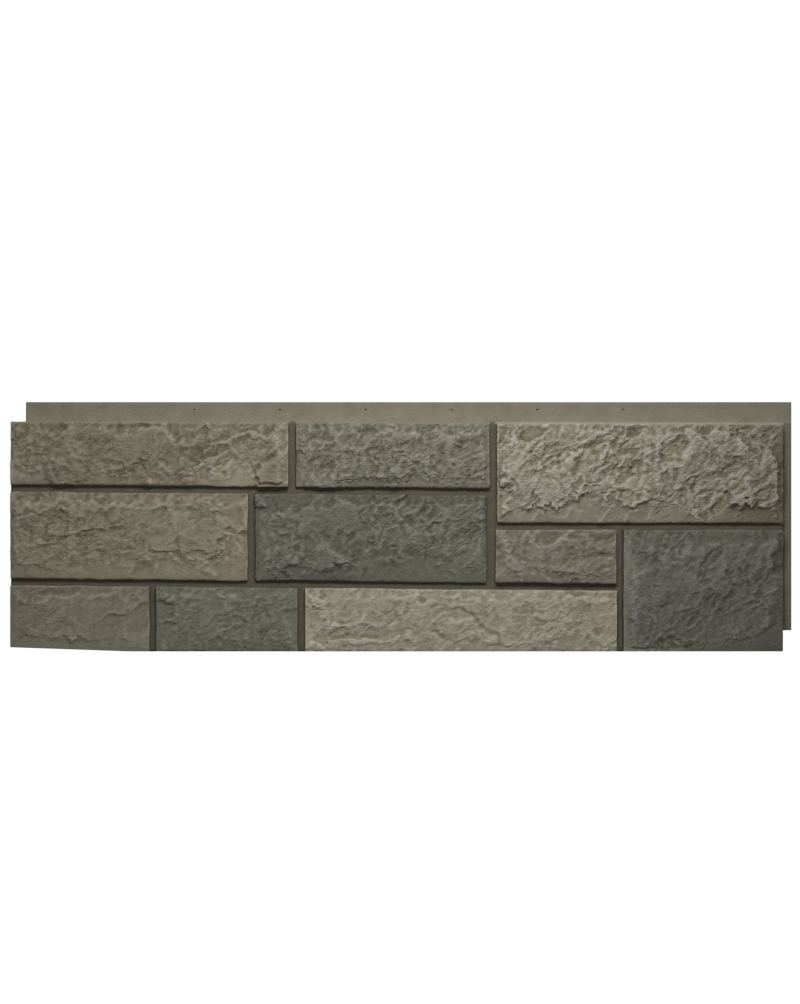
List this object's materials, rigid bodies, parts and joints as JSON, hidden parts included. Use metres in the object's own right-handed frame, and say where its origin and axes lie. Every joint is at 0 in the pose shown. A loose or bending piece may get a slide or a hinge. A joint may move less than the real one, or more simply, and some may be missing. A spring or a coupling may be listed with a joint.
{
  "type": "siding panel",
  "caption": "Long rectangular wall siding panel: rock-faced stones in courses with recessed mortar joints, nailing flanges at top and end, laps behind the other edges.",
  "frame": {"origin": "middle of the panel's flat back, halfway along its length and its height", "axes": "+X along the panel to its end flange, +Y up the wall to its top flange, +Z out of the wall"},
  "size_m": [1.2318, 0.3938, 0.0318],
  "materials": {
    "stone_face": "rigid foam with a matt stone-coloured coat"
  },
  "bodies": {
    "root": {"stone_panel": "stone_face"}
  },
  "joints": []
}
